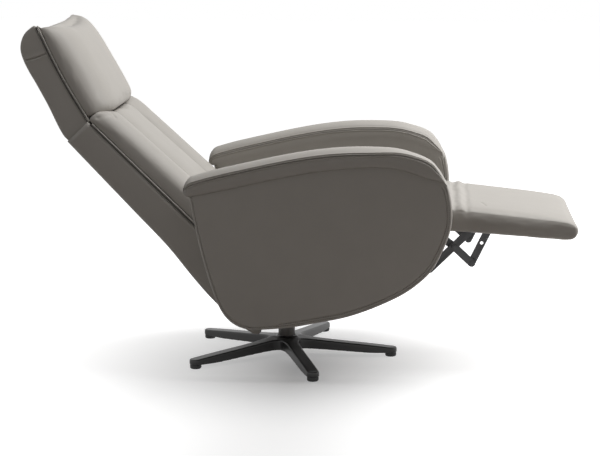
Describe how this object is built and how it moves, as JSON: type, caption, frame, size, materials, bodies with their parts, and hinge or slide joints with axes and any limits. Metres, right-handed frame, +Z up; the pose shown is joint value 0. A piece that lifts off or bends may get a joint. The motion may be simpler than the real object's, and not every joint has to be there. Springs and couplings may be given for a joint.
{
  "type": "swivel recliner",
  "caption": "Leather swivel recliner on a star base, reclined, with an open link footrest, a tilting headrest and curved padded arms.",
  "frame": {"origin": "on the floor, on the swivel axis", "axes": "+Z up, +X the way the sitter faces, +Y to the sitter's left; rest pose is fully reclined with the footrest out"},
  "size_m": [1.5825, 0.7, 1.0066],
  "materials": {
    "leather": "smooth protected leather, taupe grey, satin",
    "cast_base": "die cast, graphite powder coat, satin",
    "painted_steel": "pressed steel, black powder coat",
    "zinc_steel": "turned steel, zinc plated",
    "nylon": "moulded black nylon",
    "plywood": "birch plywood, bare"
  },
  "bodies": {
    "base": {"star_base": "cast_base", "column_tube": "cast_base", "glide_1": "nylon", "glide_2": "nylon", "glide_3": "nylon", "glide_4": "nylon", "glide_5": "nylon"},
    "swivel_head": {"swivel_spindle": "painted_steel", "swivel_bracket": "painted_steel", "tilt_bush_left": "nylon", "tilt_bush_right": "nylon"},
    "chassis": {"side_plate_left": "painted_steel", "side_plate_right": "painted_steel", "front_cross_tube": "painted_steel", "rear_cross_tube": "painted_steel", "tilt_tube": "zinc_steel", "recline_shaft": "zinc_steel", "gas_spring_pin": "zinc_steel", "seat_pan": "plywood", "seat_cushion": "leather", "knee_flap": "leather", "side_panel_left": "leather", "side_panel_right": "leather", "arm_pad_left": "leather", "arm_pad_right": "leather", "front_pivot_pin_left": "zinc_steel", "front_pivot_pin_right": "zinc_steel", "rear_pivot_pin_left": "zinc_steel", "rear_pivot_pin_right": "zinc_steel"},
    "back": {"back_shell": "leather", "back_cushion": "leather", "bolster_left": "leather", "bolster_right": "leather", "back_upright_left": "painted_steel", "back_upright_right": "painted_steel", "back_bracket_left": "painted_steel", "back_bracket_right": "painted_steel", "back_cross_lower": "painted_steel", "back_cross_upper": "painted_steel", "headrest_hinge_left": "painted_steel", "headrest_hinge_right": "painted_steel"},
    "headrest": {"headrest_shell": "leather", "headrest_axle": "zinc_steel", "headrest_pad": "leather"},
    "cross_links": {"cross_link_left": "painted_steel", "cross_link_right": "painted_steel"},
    "lift_links": {"lift_link_left": "painted_steel", "lift_link_right": "painted_steel"},
    "stay_links": {"stay_link_left": "painted_steel", "stay_link_right": "painted_steel"},
    "rear_links": {"rear_link_left": "painted_steel", "rear_link_right": "painted_steel"},
    "footrest": {"footrest_pad": "leather", "footrest_board": "plywood", "footrest_bracket_left": "painted_steel", "footrest_bracket_right": "painted_steel"},
    "gas_cylinder": {"gas_spring_cylinder": "painted_steel"},
    "gas_rod": {"gas_spring_rod": "zinc_steel"}
  },
  "joints": [
    {"name": "swivel", "type": "hinge", "parent": "base", "child": "swivel_head", "pos_m": [0, 0, 0.15], "axis": [0, 0, 1], "continuous": true},
    {"name": "seat_tilt", "type": "hinge", "parent": "swivel_head", "child": "chassis", "pos_m": [0.02, 0, 0.215], "axis": [0, 1, 0], "range_deg": [0, 8]},
    {"name": "back_recline", "type": "hinge", "parent": "chassis", "child": "back", "pos_m": [-0.09, 0, 0.362], "axis": [0, 1, 0], "range_deg": [0, 24]},
    {"name": "headrest_tilt", "type": "hinge", "parent": "back", "child": "headrest", "pos_m": [-0.55483, 0, 0.71848], "axis": [0, 1, 0], "range_deg": [-18, 8]},
    {"name": "footrest_fold", "type": "hinge", "parent": "chassis", "child": "cross_links", "pos_m": [0.4107, 0, 0.4401], "axis": [0, 1, 0], "range_deg": [0, 67.1], "deforming": ["knee_flap"]},
    {"name": "lift_turn", "type": "hinge", "parent": "cross_links", "child": "lift_links", "pos_m": [0.4955, 0, 0.376], "axis": [0, 1, 0], "range_deg": [-78, 0]},
    {"name": "stay_turn", "type": "hinge", "parent": "cross_links", "child": "stay_links", "pos_m": [0.54833, 0, 0.32708], "axis": [0, 1, 0], "range_deg": [-55, 0]},
    {"name": "rear_link_turn", "type": "hinge", "parent": "chassis", "child": "rear_links", "pos_m": [0.3477, 0, 0.3466], "axis": [0, 1, 0], "range_deg": [0, 77]},
    {"name": "footrest_turn", "type": "hinge", "parent": "lift_links", "child": "footrest", "pos_m": [0.5515, 0, 0.432], "axis": [0, 1, 0], "range_deg": [0, 96]},
    {"name": "gas_spring_turn", "type": "hinge", "parent": "chassis", "child": "gas_cylinder", "pos_m": [0.11, 0, 0.262], "axis": [0, 1, 0], "range_deg": [0, 2]},
    {"name": "gas_spring_slide", "type": "slide", "parent": "gas_cylinder", "child": "gas_rod", "axis": [-0.998, 0, 0.0633], "range_m": [0, 0.037]}
  ],
  "couplings": [
    {"joint": "lift_turn", "follows": "footrest_fold", "ratio": -1.1489},
    {"joint": "stay_turn", "follows": "footrest_fold", "ratio": -0.80273},
    {"joint": "rear_link_turn", "follows": "footrest_fold", "ratio": 1.1367},
    {"joint": "footrest_turn", "follows": "footrest_fold", "ratio": 1.4148},
    {"joint": "gas_spring_turn", "follows": "back_recline", "ratio": 0.072558},
    {"joint": "gas_spring_slide", "follows": "back_recline", "m_per_rad": 0.084988}
  ]
}
